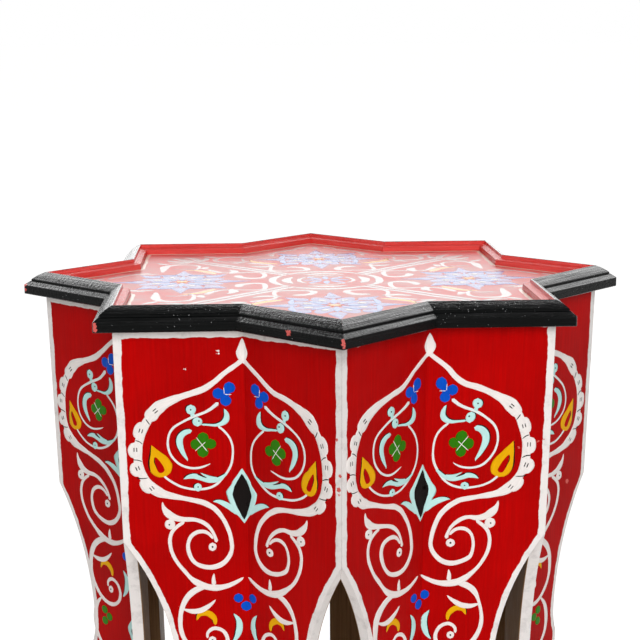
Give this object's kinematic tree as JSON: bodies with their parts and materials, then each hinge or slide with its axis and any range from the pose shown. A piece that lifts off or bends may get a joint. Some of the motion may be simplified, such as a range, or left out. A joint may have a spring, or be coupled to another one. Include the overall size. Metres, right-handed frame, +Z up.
{
  "type": "painted star stool",
  "caption": "Low wooden stool or side table with a star-shaped top, a recessed panel in a mitred rim, folded board sides and pointed arches between the legs.",
  "frame": {"origin": "middle of the footprint at floor level, under the middle of the star", "axes": "+Z up, with a star point on each of the X and Y axes and on each diagonal between them"},
  "size_m": [0.6, 0.6, 0.555],
  "materials": {
    "red_painted_wood": "brushed gloss paint",
    "black_painted_wood": "brushed gloss paint",
    "bare_wood": "sawn"
  },
  "bodies": {
    "root": {"top_panel": "red_painted_wood", "rim_moulding_01": "black_painted_wood", "rim_moulding_02": "black_painted_wood", "rim_moulding_03": "black_painted_wood", "rim_moulding_04": "black_painted_wood", "rim_moulding_05": "black_painted_wood", "rim_moulding_06": "black_painted_wood", "rim_moulding_07": "black_painted_wood", "rim_moulding_08": "black_painted_wood", "rim_moulding_09": "black_painted_wood", "rim_moulding_10": "black_painted_wood", "rim_moulding_11": "black_painted_wood", "rim_moulding_12": "black_painted_wood", "rim_moulding_13": "black_painted_wood", "rim_moulding_14": "black_painted_wood", "rim_moulding_15": "black_painted_wood", "rim_moulding_16": "black_painted_wood", "side_board_01": "red_painted_wood", "side_board_02": "red_painted_wood", "side_board_03": "red_painted_wood", "side_board_04": "red_painted_wood", "side_board_05": "red_painted_wood", "side_board_06": "red_painted_wood", "side_board_07": "red_painted_wood", "side_board_08": "red_painted_wood", "side_board_09": "red_painted_wood", "side_board_10": "red_painted_wood", "side_board_11": "red_painted_wood", "side_board_12": "red_painted_wood", "side_board_13": "red_painted_wood", "side_board_14": "red_painted_wood", "side_board_15": "red_painted_wood", "side_board_16": "red_painted_wood", "tip_block_1": "bare_wood", "tip_block_2": "bare_wood", "tip_block_3": "bare_wood", "tip_block_4": "bare_wood", "tip_block_5": "bare_wood", "tip_block_6": "bare_wood", "tip_block_7": "bare_wood", "tip_block_8": "bare_wood"}
  },
  "joints": []
}
